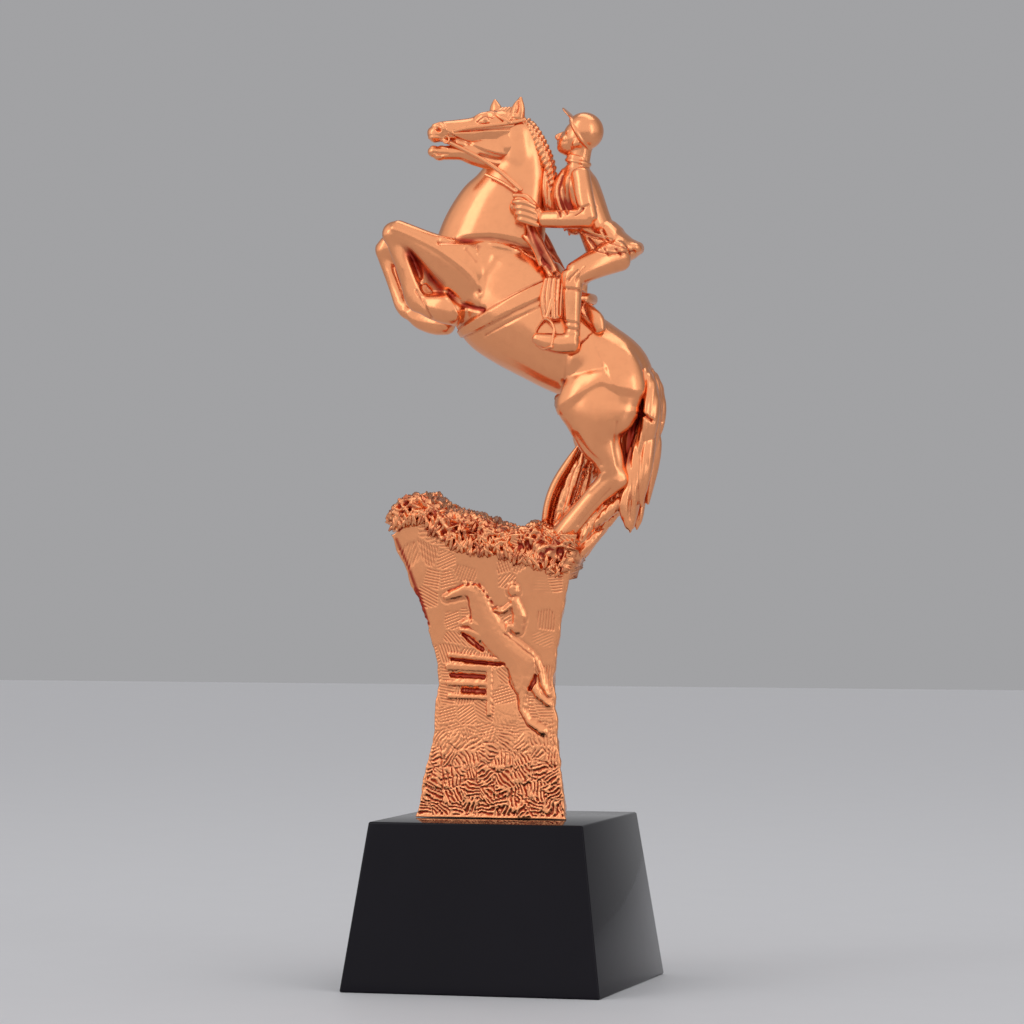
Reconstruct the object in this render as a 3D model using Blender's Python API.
"""Horse trophy: a plated casting of a rearing horse with its rider, rising from a
rock-topped pillar, and the black tapered plinth that carries it.

The frame is in metres with +Z up. The origin is the centre of the plinth's underside, the
carved front of the pillar faces -Y, and the horse's head points to -X. The horse, its
rider, the rock and the pillar are one casting, so their forms are fused under one skin.
"""

from math import cos, pi, radians, sin, tan

import bmesh
import bpy
import numpy as np
from mathutils import Matrix, Vector, noise

# Plinth: a polished block with sides that lean in.
PLINTH_FOOT = 0.100
PLINTH_TOP = 0.0825
PLINTH_HEIGHT = 0.063
PLINTH_BEVEL = 0.0008
SEAT_GAP = 0.0003

# Pillar: an hourglass with a flat carved front and sides that draw in towards the back.
PILLAR_SET = 0.0
PILLAR_HEIGHT = 0.107
FOOT_WIDTH, FOOT_DEPTH = 0.059, 0.029
WAIST_WIDTH, WAIST_DEPTH = 0.0455, 0.025
TOP_WIDTH, TOP_DEPTH = 0.0735, 0.031
FOOT_LEAN = -0.0017
TOP_LEAN = -0.0043
WAIST_LEVEL = 0.5
FOOT_SWEEP, TOP_SWEEP = 1.6, 1.3
SIDE_DRAFT = radians(16)
BACK_CORNER = 0.006
CORNER_SLANT = 0.3

# Relief on the pillar's front: a horse and rider clearing a fence, in units of 1/107 of the
# pillar's height, measured across from the waist's centre and up from the foot.
RELIEF_UNIT = PILLAR_HEIGHT / 107
RELIEF_RISE = 0.0013
RELIEF_EDGE = 0.0009
RELIEF_BLEED = 0.35
FRONT_FACING = 0.75

# Rock: the craggy cap, from its low rim up to its crest.
ROCK_UNIT = TOP_WIDTH / 73.5
ROCK_DEPTH = TOP_DEPTH + 0.0025
ROCK_END_SHARE = 0.78
CRAG_RISE = 0.0019
CRAG_SIZE = 0.0062
CRAG_BASE, CRAG_RIDGE, CRAG_FLECK, CRAG_FINER = 0.45, 2.2, 0.5, 2.3
CRAG_FADE_LOW, CRAG_FADE_HIGH = 0.002, 0.004

# Figure: the horse and rider keep their own proportions. Their stations are in units of
# 1/166 of the height from the ground under the hooves to the tips of the ears.
FIGURE_HEIGHT = 0.166
UNIT = FIGURE_HEIGHT / 166
HOOF_SET = PILLAR_SET + TOP_LEAN + 0.365 * TOP_WIDTH
GROUND = PLINTH_HEIGHT + PILLAR_HEIGHT

# Tack that lies on the horse.
GIRTH_HALF = 0.0034
GIRTH_RISE = 0.0010
GIRTH_EDGE = 0.0008
GIRTH_REACH = 0.0172
GIRTH_FLOOR = 70
CREASE_HALF = 0.0011
CREASE_DEPTH = 0.0007

# Surface: the grain of the skin over the forms, and the facets that are kept.
SKIN_GRAIN = 0.0008
SKIN_PASSES = 3
CASTING_FACETS = 9300
FINE_SHARE = 0.6
EDGE_SHARE = 0.02
FRONT_SHARE = 0.4

# Each station is a place along, to the side and up, then the form's half thickness in the
# horse's own plane and its half width across it.
HORSE_BODY = (
    ((-36.5, 0, 103.4, 9, 9), (-29.4, 0, 96.1, 19.5, 13.5), (-21.1, 0, 88.8, 23, 15.5),
     (-11.3, 0, 80.3, 21.3, 16.5), (-0.3, 0, 71.5, 18, 16), (11.0, 0, 65.0, 16.5, 14.5),
     (18.4, 0, 57.4, 15.5, 14), (21.1, 0, 49.8, 13, 11)),
    ((-29.6, 0, 105.6, 21, 12), (-26.8, 0, 113.9, 20.4, 11), (-23.6, 0, 122.2, 18.5, 10),
     (-19.9, 0, 130.4, 15.2, 8.5), (-17.5, 0, 138.7, 12.2, 7.3), (-16.8, 0, 146.3, 9.5, 6.2),
     (-18.4, -1, 152.7, 7.8, 5.4)),
)
HORSE_HEAD = (
    ((-18.1, -1, 153.0, 7.6, 5.2), (-23.1, -2.5, 153.4, 7.4, 6), (-28.7, -5, 153.3, 6.3, 5.8),
     (-32.9, -7, 152.5, 5.3, 4.8), (-37.0, -9, 152.4, 4.6, 4.2), (-40.8, -11, 152.4, 4, 3.7),
     (-44.3, -12.5, 151.9, 3.9, 3.7), (-46.7, -13.5, 150.8, 3.2, 3.2)),
    ((-23.0, -3, 146.6, 8, 5), (-27.8, -5.5, 144.9, 7.2, 4.6), (-32.6, -8, 144.1, 4.9, 3.9),
     (-36.9, -9.5, 144.3, 3.1, 3.1), (-40.8, -11, 144.2, 2.8, 2.9),
     (-44.3, -12.5, 144.0, 2.6, 2.8), (-46.1, -13, 144.2, 1.9, 2.2)),
    ((-16.6, -4.5, 157.5, 3.2, 2.2), (-15.6, -5, 161.5, 2.5, 1.6), (-14.8, -5, 165.2, 0.7, 0.7)),
    ((-25.6, 0.5, 157.5, 3.2, 2.2), (-26.6, 1.5, 162, 2.3, 1.6), (-27.0, 2, 165.2, 0.7, 0.7)),
)
FORELEGS = (
    ((-31, -8, 96.8, 14, 7), (-39.6, -11, 102.1, 10.3, 5.8), (-48, -13, 107.8, 6.6, 4.9),
     (-55.4, -13.5, 112.4, 4.7, 4.2), (-61.3, -13.5, 115.2, 4.2, 4.1)),
    ((-62.1, -13.5, 114, 3.6, 3.6), (-61.3, -13.5, 109.1, 2.9, 2.8), (-59.3, -13.5, 102.6, 2.4, 2.3),
     (-57.1, -13, 95.4, 2.5, 2.4), (-54.9, -12.5, 89, 3.2, 3), (-51.9, -12, 86.3, 2.8, 2.7)),
    ((-51.9, -12, 86.7, 3, 3), (-48, -12, 85.5, 4.2, 4.2), (-42.8, -12, 84.3, 5.2, 5),
     (-38.1, -12, 83.1, 4.6, 4.6)),
    ((-38, 8, 94.7, 13, 7), (-50, 11, 99.3, 9.8, 5.8), (-60.7, 12, 104.9, 6.4, 4.9),
     (-68.3, 12, 109.2, 4.7, 4.2), (-73.5, 12, 111.2, 4.2, 4.1)),
    ((-74.4, 12, 110.5, 3.6, 3.6), (-72.9, 12, 105.4, 3.4, 3.0), (-70.6, 11.5, 99.2, 3.2, 2.6),
     (-68.2, 11, 93, 3.2, 2.6), (-65.7, 10, 87.5, 3.4, 3), (-62.2, 9, 84.4, 3.0, 2.7)),
    ((-60, 9, 97, 6, 2.4), (-55, 9, 89, 6, 2.4)),
    ((-62.2, 9, 84.4, 3, 3), (-57.9, 8, 82.4, 4.2, 4.2), (-52, 7, 80.7, 4.6, 5),
     (-46.9, 6, 79.9, 4, 4.6)),
)
HIND_LEGS = (
    ((27.4, -8, 66.8, 8, 4.5), (23, -9, 58.6, 13.5, 7), (17.3, -9.5, 49.6, 15.8, 8),
     (17.1, -10, 42.5, 14, 7.5), (17.5, -10, 35, 9, 6.3), (20.6, -10, 28.6, 6.2, 5.2),
     (22.1, -10, 22.6, 5.1, 4.3)),
    ((23.3, -10, 20.4, 4.4, 3.9), (18.6, -10, 20.7, 4.6, 3.6), (14, -10, 17.8, 3.3, 2.9),
     (8.9, -10, 12.9, 2.6, 2.5), (3.9, -10, 8, 2.6, 2.5), (-0.4, -10, 3.9, 3.2, 3),
     (-3.5, -10, 1.3, 2.7, 2.7)),
    ((-3.5, -10, 1.3, 3.2, 3.2), (-7.5, -10, -1.5, 4.6, 4.6), (-11, -10, -4, 4.8, 5)),
    ((22.5, 8, 66.8, 8, 4.5), (18, 9, 58, 13, 7), (12.5, 9.5, 49.6, 13.5, 7.5),
     (11, 10, 42, 11, 7), (10, 10, 35, 8.2, 6), (11.2, 10, 30, 5.6, 4.8)),
    ((13, 9, 26, 4.2, 3.8), (8, 9, 24, 4.2, 3.5), (4, 9, 18, 3.1, 2.8), (0.5, 9, 12, 2.6, 2.5),
     (-2.5, 9, 6, 2.6, 2.5), (-5, 9, 2, 3.2, 3), (-9, 9, -1.5, 4.4, 4.4)),
)
TAIL = (
    ((28.5, -1, 65.3, 3.5, 3.5), (33.2, -2, 59, 4.2, 5), (35.2, -2.5, 48.4, 4.6, 6.4),
     (33.6, -3, 38.4, 5.2, 7), (31.2, -3, 29.4, 5.2, 6.8), (29.6, -3, 20.4, 4.6, 6),
     (28.4, -3, 11.8, 3.6, 4.4), (27.6, -3, 2.4, 1.5, 1.8)),
    ((27, -4, 42, 4, 4), (26, -5, 34, 4.4, 4), (25.2, -6, 26, 4.2, 3.8), (25, -6, 18, 3.4, 3.4),
     (22.5, -5, 11, 2.6, 3), (20, -5, 7, 1.4, 2)),
)
GRASS = (
    ((-3, 3, -2, 9, 5.5), (-1, 3, 8, 8.6, 4.8), (0.6, 3, 16, 7.4, 3.8), (3, 3, 25, 4.8, 2.8),
     (5.6, 3, 33.5, 1.4, 1.2)),
    ((-1, -3, -9, 7, 9), (3.5, -4, -1, 6, 8), (9, -6, 6.4, 5.8, 6), (15, -7, 13, 5, 4.2)),
)
RIDER = (
    ((18.4, 0, 104.1, 8, 8.2), (16.1, 0, 109.8, 7.6, 7.6), (13, 0, 117.7, 7.6, 7.6),
     (9.4, 0, 126.1, 8, 8.8), (6.7, 0, 132.9, 7, 9.2), (5.6, 0, 138.2, 4.4, 5.5)),
    ((5.6, 0, 137.5, 3.6, 3.8), (5.9, 0, 142, 3.2, 3.2), (6.7, 0, 145.8, 3.6, 3.4)),
    ((16, 0, 112, 7.4, 8.2), (20.5, 0, 108.6, 7, 9.6), (25.5, 0, 107.4, 5, 8), (30, 0, 107.6, 2.4, 4)),
    ((2.4, 0, 136.5, 3, 4), (0.4, 0, 130, 4.4, 6.5), (1.8, 0, 122.5, 4.6, 6.5), (6, 0, 116, 4, 6)),
    ((9.6, -9.5, 134.4, 3.6, 3.4), (11.8, -12, 127.4, 3.3, 3.1), (14.9, -13.5, 118.3, 3.1, 2.9)),
    ((14.6, -13.5, 118.3, 3.7, 3.2), (6, -13.5, 118.3, 3.7, 3.2), (-3.6, -12.5, 118.6, 3.2, 2.9)),
    ((-3.6, -12.5, 118, 2.4, 2.4), (-9, -12, 120.5, 4, 3), (-15, -11.5, 124.5, 3.6, 2.6)),
    ((8, 9, 134, 3.4, 3.4), (4, 11, 128, 3.2, 3.1), (0, 12, 121.5, 3, 2.9)),
    ((0.5, 12, 121, 3, 3), (-5, 11.5, 121, 2.9, 2.8), (-12, 10.5, 123.5, 3, 2.6)),
    ((23.5, -6, 104.9, 6.4, 5.5), (16.5, -12, 101.4, 5.6, 5.2), (9.6, -17, 97.3, 4.7, 4.4)),
    ((9, -17.5, 96.9, 4.4, 3.8), (9.6, -18.5, 89.7, 3.3, 3.1), (9.6, -18.5, 81.9, 2.9, 2.8),
     (9.6, -18.5, 74, 2.5, 2.5)),
    ((10.4, -18.5, 72.5, 2.8, 2.5), (4.6, -18.5, 72.6, 2.5, 2.6), (-1.1, -18.8, 73, 2, 2.5),
     (-5.7, -19, 73.4, 1.4, 1.9)),
    ((18.5, 6, 106.4, 5.8, 5), (9, 12, 103, 5.2, 5), (1.6, 17, 98.3, 4.6, 4.4)),
    ((1, 17.5, 97.9, 4.4, 3.8), (1.6, 18.5, 90.7, 3.3, 3.1), (1.6, 18.5, 82.9, 2.9, 2.8),
     (1.6, 18.5, 75, 2.5, 2.5)),
    ((2.4, 18.5, 73.5, 2.8, 2.5), (-3.4, 18.5, 73.6, 2.5, 2.6), (-9.1, 18.8, 74, 2, 2.5),
     (-13.7, 19, 74.4, 1.4, 1.9)),
)
SADDLE = (
    ((-3.5, 0, 100.6, 2.8, 4.5), (1.5, 0, 94.2, 2.6, 8), (7, 0, 89.2, 2.6, 9.5), (11.4, 0, 88.6, 2.2, 7.5)),
    ((1, -14.5, 95, 4.2, 2.2), (0.2, -16.2, 88, 4.6, 1.9), (0.6, -16.6, 81, 3.8, 1.7)),
    ((-6, 14, 95, 4.2, 2.2), (-7, 16.2, 88, 4.6, 1.9), (-6.6, 16.6, 81, 3.8, 1.7)),
    ((10.5, -8, 84.5, 3, 2.4), (15.5, -9.5, 80.4, 3.2, 2.4), (17.2, -9.8, 76.5, 2.2, 2)),
    ((8, 8, 84.5, 3, 2.4), (11, 9.5, 80.4, 3.2, 2.4), (12.5, 9.8, 76.5, 2.2, 2)),
)
REINS = (
    ((-40.8, -14.5, 150.4), (-35.2, -12.9, 145.5), (-26.8, -11.2, 141), (-20, -10.2, 135), (-12, -12, 128.2)),
    ((-40.8, -7.5, 150.4), (-35.2, -4.6, 145.5), (-26, 1.5, 141.5), (-18, 8.2, 135), (-12, 10.5, 127)),
)
BRIDLE = (
    ((-20.4, -7.6, 155.8), (-28, -10.8, 153.8), (-36.6, -13, 152.2)),
    ((-24, -8.6, 158.4), (-24.4, -9.2, 152.5), (-27.2, -10.4, 145), (-27.8, -8.8, 140.6)),
    ((-36.4, -9, 157), (-37.2, -13.2, 152.8), (-37.4, -12.6, 147)),
)
STRAP_HALF = 0.95
BALLS = (
    ((-21.5, -6.2, 146.8), (6.2, 2.8, 6.4)),
    ((-26.4, -9.4, 155.6), (1.9, 1.3, 1.4)),
    ((-43.6, -14.8, 151.6), (2.2, 1.4, 1.8)),
    ((1.8, 0, 148.3), (5.4, 4.8, 5.6)),
    ((7.6, 0, 151.2), (7.5, 7.0, 6.8)),
    ((-33, 0, 99), (7, 11, 9)),
)
HELMET_PEAK = ((5, 0, 155), (1.8, 0, 157.4), (-0.4, 0, 159.6))
MANE_LINE = ((-14.4, -0.5, 159.9), (-9.3, 0, 149.3), (-4.4, 0, 137.9), (-2.6, 0, 128.5))
MANE_KNOTS = 11
KNOT_HALF = 2.0

# The relief's forms, each a chain of places across and up with a half thickness.
RELIEF = (
    ((-19.0, 83.2, 1.2), (-15.5, 84.6, 1.9), (-11.5, 86.0, 2.3), (-7.6, 85.2, 3.0)),
    ((-7.2, 84.2, 3.6), (-5.2, 77.5, 4.6), (-2.2, 71.0, 5.6), (3.6, 64.6, 5.2), (9.8, 59.2, 6.0)),
    ((10.2, 58.4, 6.2), (10.8, 53.0, 5.0), (10.4, 49.8, 3.4)),
    ((10.4, 49.8, 2.6), (10.6, 45.6, 1.7), (10.4, 41.0, 1.3), (13.0, 36.6, 1.3), (18.4, 33.2, 1.5)),
    ((14.2, 50.6, 2.0), (17.0, 46.6, 1.5), (20.0, 43.4, 1.2)),
    ((15.2, 60.2, 1.3), (17.4, 55.6, 1.3), (18.6, 50.4, 1.1)),
    ((-7.0, 71.6, 2.8), (-11.4, 73.2, 1.9), (-15.4, 73.0, 1.4), (-16.0, 70.0, 1.2), (-13.4, 67.6, 1.2)),
    ((7.2, 86.4, 2.2), (7.4, 85.8, 2.2)),
    ((7.6, 82.0, 1.8), (9.4, 76.6, 2.4), (8.4, 71.6, 2.2), (5.4, 72.4, 1.5), (4.4, 70.2, 1.2)),
    ((6.8, 80.6, 1.1), (3.2, 78.0, 1.0), (-0.2, 78.4, 0.9)),
    ((-18.0, 61.4, 1.2), (1.6, 59.6, 1.2)),
    ((-18.6, 57.0, 1.3), (-4.0, 56.5, 1.3)),
    ((-18.6, 51.0, 1.1), (-4.2, 50.6, 1.1)),
    ((-18.4, 46.0, 1.0), (-4.2, 45.6, 1.0)),
    ((-2.4, 58.6, 1.2), (-2.6, 39.6, 1.2)),
)

# The girth, and the crease of the shoulder over it, as lines across and up the horse's side.
GIRTH_LINE = ((-31, 78.8, 0), (-2.4, 93.2, 0))
SHOULDER_LINE = ((-44, 111.6, 0), (-29.6, 111.6, 0), (-12.3, 108.8, 0), (-5.6, 103.5, 0))

# The rock's crest and its low rim, as places across from the pillar's centre and up.
ROCK_CREST = (
    (-41, 9), (-37, 15.2), (-31, 14.5), (-24, 10.6), (-14, 8.4), (-7, 5.4), (1, 2.6), (5, 1.4), (10, 4), (15, 5),
    (20.5, 1),
)
ROCK_RIM = (
    (-41, -4), (-37, -4), (-31, -2), (-24, -2), (-14, -7), (-7, -8), (1, -8.5), (5, -10), (10, -12), (15, -13),
    (20.5, -15.5),
)


def clear_scene():
    """Empty the startup scene."""
    for thing in list(bpy.data.objects):
        bpy.data.objects.remove(thing, do_unlink=True)


def finish(name, colour, metallic, roughness):
    """A plain material with a colour, metalness and roughness."""
    material = bpy.data.materials.new(name)
    material.use_nodes = True
    shader = material.node_tree.nodes["Principled BSDF"]
    shader.inputs["Base Color"].default_value = (*colour, 1)
    shader.inputs["Metallic"].default_value = metallic
    shader.inputs["Roughness"].default_value = roughness
    return material


def add_object(name, mesh, material):
    """Link a new object that shows the mesh in the material."""
    mesh.materials.append(material)
    thing = bpy.data.objects.new(name, mesh)
    bpy.context.scene.collection.objects.link(thing)
    return thing


def smooth_row(rows, steps):
    """Points on a smooth curve through the rows, with so many steps to each stretch."""
    rows = np.array(rows, float)
    padded = np.vstack([2 * rows[0] - rows[1], rows, 2 * rows[-1] - rows[-2]])
    points = []
    for i in range(1, len(padded) - 2):
        before, start, end, after = padded[i - 1 : i + 3]
        for k in range(steps):
            t = k / steps
            bend = (2 * before - 5 * start + 4 * end - after) * t**2
            twist = (3 * start - before - 3 * end + after) * t**3
            points.append(0.5 * (2 * start + (end - before) * t + bend + twist))
    points.append(rows[-1])
    return np.array(points)


def bridge(bm, rings):
    """Faces between neighbouring rings, and over both ends."""
    sides = len(rings[0])
    for low, high in zip(rings, rings[1:]):
        for k in range(sides):
            j = (k + 1) % sides
            bm.faces.new((low[k], low[j], high[j], high[k]))
    bm.faces.new(reversed(rings[0]))
    bm.faces.new(rings[-1])


def loft(bm, stations, sides=20, steps=4):
    """A closed form whose rounded sections follow the stations, with domed ends."""
    rows = smooth_row(stations, steps)
    tangents = np.gradient(rows[:, :3], axis=0)
    sections = []
    for row, tangent in zip(rows, tangents):
        along = Vector(tangent).normalized()
        side = Vector((0, 1, 0))
        side = (side - along * side.dot(along)).normalized()
        sections.append((Vector(row[:3]), along, side, row[3], row[4]))
    turns = [radians(75), radians(50), radians(25)]
    domed = [domed_section(sections[0], -1, turn) for turn in turns]
    domed += sections
    domed += [domed_section(sections[-1], 1, turn) for turn in reversed(turns)]
    rings = []
    for centre, along, side, thick, wide in domed:
        up = side.cross(along)
        angles = [2 * pi * k / sides for k in range(sides)]
        rings.append([bm.verts.new(centre + up * thick * cos(a) + side * wide * sin(a)) for a in angles])
    bridge(bm, rings)


def domed_section(section, way, turn):
    """A smaller section beyond a form's end, so far round its dome."""
    centre, along, side, thick, wide = section
    reach = 0.7 * min(thick, wide) * way
    return (centre + along * reach * sin(turn), along, side, thick * cos(turn), wide * cos(turn))


def ball(bm, centre, halves):
    """A rounded mass with its own half sizes."""
    place = Matrix.Translation(centre) @ Matrix.Diagonal((*halves, 1))
    bmesh.ops.create_icosphere(bm, subdivisions=3, radius=1, matrix=place)


def cord(bm, points, half):
    """An even strand along the points."""
    loft(bm, [(*point, half, half) for point in points], sides=10)


def add_figure(bm):
    """The horse, its tack and its rider, in the figure's own units."""
    for family in (HORSE_BODY, HORSE_HEAD, FORELEGS, HIND_LEGS, TAIL, GRASS, RIDER, SADDLE):
        for stations in family:
            loft(bm, stations)
    for strand in REINS + BRIDLE:
        cord(bm, strand, STRAP_HALF)
    for centre, halves in BALLS:
        ball(bm, centre, halves)
    loft(bm, [(*point, 1.0, 4.2 - 0.9 * k) for k, point in enumerate(HELMET_PEAK)])
    knots = smooth_row(MANE_LINE, 12)
    for k in range(MANE_KNOTS):
        place = knots[round(k * (len(knots) - 1) / (MANE_KNOTS - 1))]
        ball(bm, place, (KNOT_HALF, KNOT_HALF, KNOT_HALF * 0.9))


def half_width(level, foot, waist, top, sweep_down, sweep_up):
    """A half width of the pillar at a level, swept out from the waist to foot and top."""
    if level < WAIST_LEVEL:
        return waist + (foot - waist) * ((WAIST_LEVEL - level) / WAIST_LEVEL) ** sweep_down
    return waist + (top - waist) * ((level - WAIST_LEVEL) / (1 - WAIST_LEVEL)) ** sweep_up


def pillar_section(level):
    """The pillar's left and right edges and its depth at a level."""
    left = half_width(level, FOOT_WIDTH / 2 - FOOT_LEAN, WAIST_WIDTH / 2, TOP_WIDTH / 2 - TOP_LEAN,
                      FOOT_SWEEP, TOP_SWEEP)
    right = half_width(level, FOOT_WIDTH / 2 + FOOT_LEAN, WAIST_WIDTH / 2, TOP_WIDTH / 2 + TOP_LEAN,
                       FOOT_SWEEP, TOP_SWEEP)
    depth = half_width(level, FOOT_DEPTH, WAIST_DEPTH, TOP_DEPTH, FOOT_SWEEP, TOP_SWEEP)
    return PILLAR_SET - left, PILLAR_SET + right, depth


def add_pillar(bm):
    """The hourglass, from just below its seat up into the rock."""
    rings = []
    levels = 28
    for k in range(-1, levels + 1):
        level = k / levels
        left, right, depth = pillar_section(max(level, 0))
        draw = depth * tan(SIDE_DRAFT)
        back = depth / 2
        slant = BACK_CORNER * CORNER_SLANT
        outline = (
            (left, -back), (right, -back), (right - draw + slant, back - BACK_CORNER),
            (right - draw - BACK_CORNER, back), (left + draw + BACK_CORNER, back),
            (left + draw - slant, back - BACK_CORNER),
        )
        height = PLINTH_HEIGHT + PILLAR_HEIGHT * level
        rings.append([bm.verts.new((x, y, height)) for x, y in outline])
    bridge(bm, rings)


def add_rock(bm):
    """The rock cap, between its rim and its crest."""
    stations = []
    ends = (ROCK_CREST[0][0], ROCK_CREST[-1][0])
    for (across, crest), (_, rim) in zip(ROCK_CREST, ROCK_RIM):
        half = ROCK_DEPTH / 2 / ROCK_UNIT
        if across in ends:
            half *= ROCK_END_SHARE
        stations.append((across, 0, (crest + rim) / 2, (crest - rim) / 2, half))
    before = len(bm.verts)
    loft(bm, stations, sides=28)
    made = list(bm.verts)[before:]
    place = Matrix.Translation((PILLAR_SET, 0, GROUND)) @ Matrix.Scale(ROCK_UNIT, 4)
    bmesh.ops.transform(bm, matrix=place, verts=made)


def fused_skin():
    """One mesh that covers all of the casting's forms."""
    bm = bmesh.new()
    add_figure(bm)
    bmesh.ops.transform(
        bm, matrix=Matrix.Translation((HOOF_SET, 0, GROUND)) @ Matrix.Scale(UNIT, 4), verts=bm.verts
    )
    add_rock(bm)
    add_pillar(bm)
    bmesh.ops.recalc_face_normals(bm, faces=bm.faces)
    forms = bpy.data.meshes.new("forms")
    bm.to_mesh(forms)
    bm.free()
    guide = bpy.data.objects.new("forms", forms)
    bpy.context.scene.collection.objects.link(guide)
    skin = guide.modifiers.new("Skin", "REMESH")
    skin.mode = "VOXEL"
    skin.voxel_size = SKIN_GRAIN
    soften = guide.modifiers.new("Soften", "SMOOTH")
    soften.iterations = SKIN_PASSES
    view = bpy.context.evaluated_depsgraph_get()
    mesh = bpy.data.meshes.new_from_object(guide.evaluated_get(view))
    bpy.data.objects.remove(guide, do_unlink=True)
    return mesh


def ease(value):
    """A smooth step from 0 to 1."""
    value = np.clip(value, 0, 1)
    return value * value * (3 - 2 * value)


def chain_distance(x, z, chain):
    """How far each place lies outside a chain of rounded links."""
    nearest = np.full(x.shape, np.inf)
    for (x0, z0, r0), (x1, z1, r1) in zip(chain, chain[1:]):
        length = max((x1 - x0) ** 2 + (z1 - z0) ** 2, 1e-9)
        t = np.clip(((x - x0) * (x1 - x0) + (z - z0) * (z1 - z0)) / length, 0, 1)
        away = np.hypot(x - x0 - t * (x1 - x0), z - z0 - t * (z1 - z0)) - (r0 + t * (r1 - r0))
        nearest = np.minimum(nearest, away)
    return nearest


def relief_height(x, z):
    """How far the relief stands out of the pillar's front."""
    across = (x - PILLAR_SET) / RELIEF_UNIT
    up = (z - PLINTH_HEIGHT) / RELIEF_UNIT
    away = np.full(x.shape, np.inf)
    for chain in RELIEF:
        away = np.minimum(away, chain_distance(across, up, chain))
    return RELIEF_RISE * ease(RELIEF_BLEED - away * RELIEF_UNIT / RELIEF_EDGE)


def rock_line(x, line):
    """The height of the rock's crest or rim at a place across."""
    across = (x - PILLAR_SET) / ROCK_UNIT
    return GROUND + np.interp(across, [p[0] for p in line], [p[1] for p in line]) * ROCK_UNIT


def girth_height(x, y, z):
    """How far the girth and the creases of the shoulder change the horse's skin."""
    across = (x - HOOF_SET) / UNIT
    up = (z - GROUND) / UNIT
    girth = chain_distance(across, up, GIRTH_LINE) * UNIT
    height = GIRTH_RISE * ease((GIRTH_HALF - girth) / GIRTH_EDGE)
    crease = chain_distance(across, up, SHOULDER_LINE) * UNIT
    height -= CREASE_DEPTH * ease(1 - crease / CREASE_HALF)
    return height * (np.abs(y) < GIRTH_REACH)


def carve(mesh):
    """Bring out the relief, the crags and the tack on the skin."""
    count = len(mesh.vertices)
    places = np.empty(count * 3)
    normals = np.empty(count * 3)
    mesh.vertices.foreach_get("co", places)
    mesh.vertex_normals.foreach_get("vector", normals)
    places = places.reshape(-1, 3)
    normals = normals.reshape(-1, 3)
    x, y, z = places.T
    rim = rock_line(x, ROCK_RIM)
    crest = rock_line(x, ROCK_CREST)
    front = (normals[:, 1] < -FRONT_FACING) & (y < 0) & (z < rim)
    moved = places.copy()
    moved[:, 1] -= np.where(front, relief_height(x, z), 0)
    on_rock = ease((z - rim) / CRAG_FADE_LOW) * ease((crest - z) / CRAG_FADE_HIGH + 1)
    for k in np.flatnonzero(on_rock > 0.01):
        spot = Vector(places[k]) / CRAG_SIZE
        rise = CRAG_BASE - CRAG_RIDGE * abs(noise.noise(spot)) + CRAG_FLECK * noise.noise(spot * CRAG_FINER)
        moved[k] += normals[k] * CRAG_RISE * rise * on_rock[k]
    on_horse = (z > GROUND + GIRTH_FLOOR * UNIT) & (x < HOOF_SET)
    moved += normals * np.where(on_horse, girth_height(x, y, z), 0)[:, None]
    mesh.vertices.foreach_set("co", moved.ravel())
    mesh.update()


def weigh_facets(casting):
    """Weigh the skin so that the relief's edges keep more facets than plain ground."""
    group = casting.vertex_groups.new(name="care")
    places = np.array([vertex.co for vertex in casting.data.vertices])
    share = relief_height(places[:, 0], places[:, 2]) / RELIEF_RISE
    on_front = (places[:, 1] < -FRONT_SHARE * WAIST_DEPTH) & (places[:, 2] < GROUND)
    edge = (share > EDGE_SHARE) & (share < 1 - EDGE_SHARE) & on_front
    group.add(np.flatnonzero(edge).tolist(), FINE_SHARE, "REPLACE")
    group.add(np.flatnonzero(~edge).tolist(), 1.0, "REPLACE")


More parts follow.
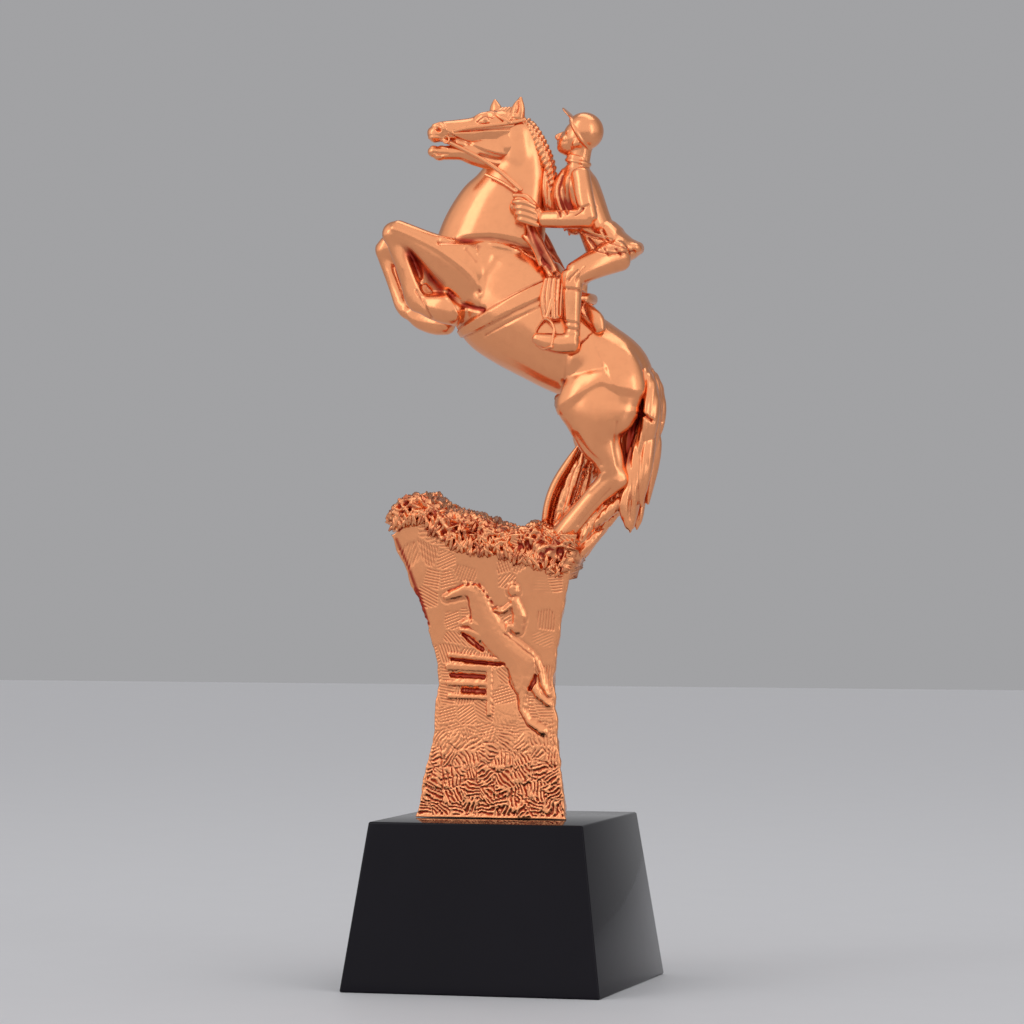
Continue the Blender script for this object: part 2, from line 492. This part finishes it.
def cut_seat(mesh):
    """Cut the pillar's foot off flat, just above the plinth."""
    bm = bmesh.new()
    bm.from_mesh(mesh)
    plane = (0, 0, PLINTH_HEIGHT + SEAT_GAP)
    parts = bm.verts[:] + bm.edges[:] + bm.faces[:]
    cut = bmesh.ops.bisect_plane(bm, geom=parts, plane_co=plane, plane_no=(0, 0, 1), clear_inner=True)
    rim = [part for part in cut["geom_cut"] if isinstance(part, bmesh.types.BMEdge)]
    bmesh.ops.contextual_create(bm, geom=rim)
    bmesh.ops.recalc_face_normals(bm, faces=bm.faces)
    bm.to_mesh(mesh)
    bm.free()


def build_casting():
    """The horse, rider, rock and pillar, cast as one."""
    mesh = fused_skin()
    carve(mesh)
    cut_seat(mesh)
    mesh.name = "casting"
    mesh.materials.clear()
    plating = finish("rose copper plating", (0.86, 0.45, 0.27), 1.0, 0.16)
    casting = add_object("casting", mesh, plating)
    weigh_facets(casting)
    facets = sum(len(face.vertices) - 2 for face in mesh.polygons)
    thin = casting.modifiers.new("Facets", "DECIMATE")
    thin.ratio = min(1.0, CASTING_FACETS / facets)
    thin.vertex_group = "care"
    thin.vertex_group_factor = 1.0
    return casting


def build_plinth():
    """The black block, a frustum with fine bevels."""
    bm = bmesh.new()
    rings = []
    for width, height in ((PLINTH_FOOT, 0), (PLINTH_TOP, PLINTH_HEIGHT)):
        half = width / 2
        corners = ((-half, -half), (half, -half), (half, half), (-half, half))
        rings.append([bm.verts.new((x, y, height)) for x, y in corners])
    bridge(bm, rings)
    bmesh.ops.recalc_face_normals(bm, faces=bm.faces)
    mesh = bpy.data.meshes.new("plinth")
    bm.to_mesh(mesh)
    bm.free()
    plinth = add_object("plinth", mesh, finish("black polish", (0.012, 0.012, 0.014), 0.0, 0.06))
    edge = plinth.modifiers.new("Edge", "BEVEL")
    edge.width = PLINTH_BEVEL
    edge.segments = 2
    edge.limit_method = "NONE"
    return plinth


def main():
    """Build the trophy."""
    clear_scene()
    build_plinth()
    build_casting()


main()
